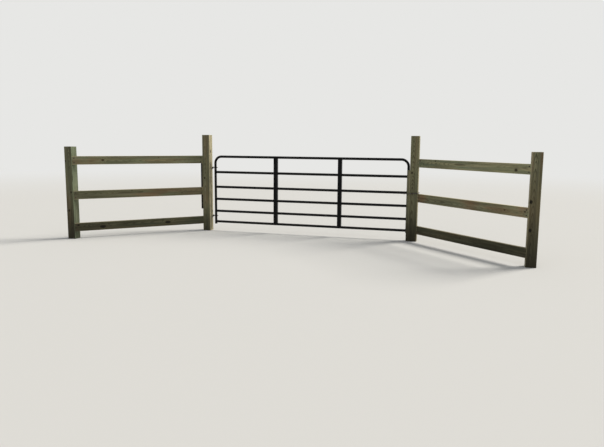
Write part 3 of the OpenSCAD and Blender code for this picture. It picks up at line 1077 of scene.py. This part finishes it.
def makeBraceWeld(size, slices, half):
    # bead round a tube along X at the origin, or round its upper half
    weld = addHoop(tube.radius + size["offTube"], size["bead"], slices, sides=8, turn=90)
    bpy.ops.object.mode_set(mode="EDIT")
    bpy.ops.mesh.select_all(action="SELECT")
    if half:
        bpy.ops.mesh.bisect(plane_co=(0, 0, 0), plane_no=upward, use_fill=True, clear_inner=True)
        bpy.ops.mesh.select_all(action="SELECT")
    bpy.ops.transform.vertex_random(offset=size["rough"], seed=6)
    bpy.ops.object.mode_set(mode="OBJECT")
    smooth(weld, 70)
    return weld


stileWeld = makeStileWeld(weldSize["stile"], weldSize["slices"])
for name, x, turn in (("hingeStileWelds", tube.hingeX, 0), ("latchStileWelds", tube.latchX, 180)):
    welds = [copyTo(stileWeld, (x, tube.leafY, level), turned(turn, "Z")) for level in tubeLevels[1:]]
    finishPiece(together(welds), name, "leaf", leafPaint)
offBrace = weldSize["brace"]["offBrace"]
wholeWeld = makeBraceWeld(weldSize["brace"], weldSize["slices"], half=False)
halfWeld = makeBraceWeld(weldSize["brace"], weldSize["slices"], half=True)
for side in ("left", "right"):
    low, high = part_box(side + "_brace")
    welds = []
    for x in (low.x - offBrace, high.x + offBrace):
        for level in tubeLevels[1:-1]:
            turn = Matrix.Rotation(level * 3, 4, "X")  # so that no two beads look alike
            welds.append(copyTo(wholeWeld, (x, tube.leafY, level), turn))
        welds.append(copyTo(halfWeld, (x, tube.leafY, tubeLevels[-1])))
        welds.append(copyTo(halfWeld, (x, tube.leafY, tubeLevels[0]), turned(180, "X")))
    finishPiece(together(welds), side + "BraceWelds", "leaf", bracePaint)
for weld in (stileWeld, wholeWeld, halfWeld):
    drop(weld)
print("tubes welded")


# screws through the rails' ends, the stop board and the side bar

screwSize = {
    "flats": 0.01, "thick": 0.0045, "base": 0.0012, "chamfer": (0.0012, 0.0006),
    "flange": 0.0105, "flangeThick": 0.0012, "flangeSlope": (0.002, 0.0007),
}
screwPlaces = {
    "fromPost": 0.034,
    "upDown": 0.038,
    "stopLevels": (0.16, 0.56, 1.1),
    "barLevels": (0.44, 0.85, 1.26),
    "barThick": 0.006,
}
screw = makeHexagon(screwSize)
spins = random.Random(11)  # no two heads are turned alike
for side, wing in wings.items():
    turn = wing.front.to_track_quat("Z", "Y").to_matrix().to_4x4()
    screws = []
    for height in ("top", "middle", "bottom"):
        level = middleOf(side + "_" + height + "_rail").z
        for distance in (screwPlaces["fromPost"], wing.length - screwPlaces["fromPost"]):
            for up in (-1, 1):
                at = wing.start + wing.way * distance
                at.z = level + up * screwPlaces["upDown"]
                spin = Matrix.Rotation(spins.uniform(0, 1), 4, "Z")
                screws.append(copyTo(screw, at, turn @ spin))
    finishPiece(together(screws), side + "RailScrews", "posts", screwSteel)
outOfSide = turned(-90, "Y")
stopY = (stopLow.y + stopHigh.y) / 2
screws = [copyTo(screw, (stopLow.x, stopY, level), outOfSide) for level in screwPlaces["stopLevels"]]
finishPiece(together(screws), "stopBoardScrews", "posts", screwSteel)
# through the leg of the side bar that lies on the post
low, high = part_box("side_bar")
legX = high.x - screwPlaces["barThick"]
legY = (low.y + screwPlaces["barThick"] + high.y) / 2
screws = [copyTo(screw, (legX, legY, level), outOfSide) for level in screwPlaces["barLevels"]]
finishPiece(together(screws), "sideBarScrews", "posts", barPaint)
drop(screw)
print("rails screwed up")


# pale floor, backdrop and soft light

studio = {
    "floor": (206, 205, 202),  # as the camera sees it
    "floorBounce": (190, 188, 183),  # as it lights the gate from below
    "floorMiddle": (1.9, -0.8, 0.0),
    "floorRadius": 90,
    "floorEnd": (9.0, 26.0),  # it fades to the backdrop between these distances
    "backdrop": (231, 231, 229),
    "room": (0.94, 0.97, 1.0),
    "roomLevel": 0.42,
    "keyFrom": (0.78, 0.62, 0.82),  # high, from the right and behind
    "key": (1.0, 0.96, 0.89),
    "keyLevel": 3.7,
    "keySoftness": 26,
    "fillFrom": (-0.25, -0.9, 0.5),  # from beside the camera
    "fillLevel": 0.3,
    "fillSoftness": 60,
    "lampReach": 8,
}


def isSeen(tree):
    # 1 for what is seen, itself or as a reflection, and 0 for the light that falls on the gate
    ray = tree.nodes.new("ShaderNodeLightPath")
    seen = calc(tree, "MAXIMUM", ray.outputs["Is Camera Ray"], ray.outputs["Is Glossy Ray"])
    return calc(tree, "MAXIMUM", seen, ray.outputs["Is Transmission Ray"])


def mixInto(tree, share, first, second, out):
    mix = tree.nodes.new("ShaderNodeMixShader")
    for place, value in enumerate((share, first, second)):
        tree.links.new(value, mix.inputs[place])
    tree.links.new(mix.outputs[0], out.inputs[0])


def floorFinish(size):
    finish, tree, shader = newFinish("paleFloor")
    shader.inputs["Roughness"].default_value = 0.95
    shader.inputs["Specular IOR Level"].default_value = 0.1
    seen = isSeen(tree)
    colour = tint(tree, seen, tone(*size["floorBounce"]), tone(*size["floor"]))
    tree.links.new(colour, shader.inputs["Base Color"])
    glow = tree.nodes.new("ShaderNodeEmission")
    glow.inputs[0].default_value = tone(*size["backdrop"])
    coord = tree.nodes.new("ShaderNodeTexCoord")
    reach = tree.nodes.new("ShaderNodeVectorMath")
    reach.operation = "DISTANCE"
    tree.links.new(coord.outputs["Object"], reach.inputs[0])
    reach.inputs[1].default_value = size["floorMiddle"]
    far = fade(tree, reach.outputs["Value"], *size["floorEnd"])
    out = tree.nodes["Material Output"]
    mixInto(tree, times(tree, far, seen), shader.outputs[0], glow.outputs[0], out)
    return finish


def makeRoom(size):
    room = bpy.data.worlds.new("softStudio")
    bpy.context.scene.world = room
    room.use_nodes = True
    tree = room.node_tree
    tree.nodes.clear()
    out = tree.nodes.new("ShaderNodeOutputWorld")
    light = tree.nodes.new("ShaderNodeBackground")
    light.inputs[0].default_value = (*size["room"], 1.0)
    light.inputs[1].default_value = size["roomLevel"]
    backdrop = tree.nodes.new("ShaderNodeBackground")
    backdrop.inputs[0].default_value = tone(*size["backdrop"])
    backdrop.inputs[1].default_value = 1.0
    mixInto(tree, isSeen(tree), light.outputs[0], backdrop.outputs[0], out)


def addLamp(name, comesFrom, colour, level, softness):
    light = bpy.data.lights.new(name, "SUN")
    light.energy = level
    light.color = colour
    light.angle = math.radians(softness)
    lamp = bpy.data.objects.new(name, light)
    bpy.context.scene.collection.objects.link(lamp)
    way = Vector(comesFrom)
    turn = way.to_track_quat("Z", "Y").to_matrix().to_4x4()
    lamp.matrix_world = Matrix.Translation(way * studio["lampReach"]) @ turn


clearPick()
bpy.ops.mesh.primitive_circle_add(
    vertices=96, radius=studio["floorRadius"], fill_type="NGON", location=studio["floorMiddle"])
floor = bpy.context.object
bpy.ops.object.transform_apply(location=True)
floor.name = "studioFloor"
floor.data.materials.append(floorFinish(studio))
makeRoom(studio)
addLamp("softKey", studio["keyFrom"], studio["key"], studio["keyLevel"], studio["keySoftness"])
addLamp("softFill", studio["fillFrom"], studio["room"], studio["fillLevel"], studio["fillSoftness"])
print("studio lit")

clearPick()
